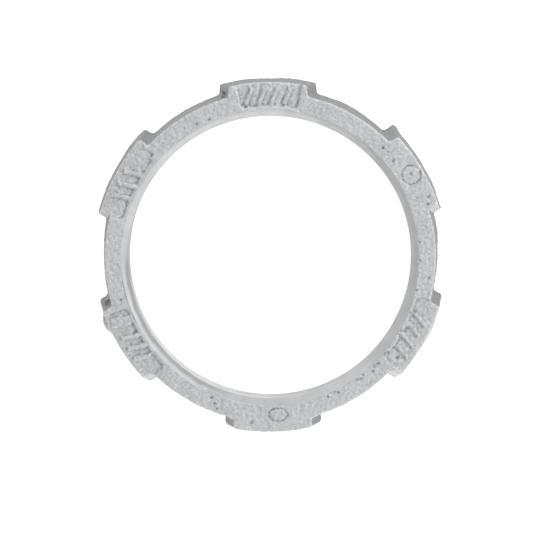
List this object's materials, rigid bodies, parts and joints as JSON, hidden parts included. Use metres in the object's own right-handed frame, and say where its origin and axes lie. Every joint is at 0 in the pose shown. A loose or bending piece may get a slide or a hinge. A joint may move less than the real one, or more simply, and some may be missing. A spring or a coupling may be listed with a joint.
{
  "type": "conduit locknut",
  "caption": "Flat cast ring nut with a threaded bore and square driving lugs round its rim, for clamping a threaded rigid conduit to the wall of a box.",
  "frame": {"origin": "on the bore axis, in the plane of the flat bearing face that goes against the box wall", "axes": "+Z along the bore axis, from the bearing face to the marked front face; +Y through the middle of a lug"},
  "size_m": [0.0844, 0.087, 0.01],
  "materials": {
    "cast_aluminium": "as cast: light grey, matt and finely pebbled, with small pits and bright edges"
  },
  "bodies": {
    "root": {"locknut": "cast_aluminium"}
  },
  "joints": []
}
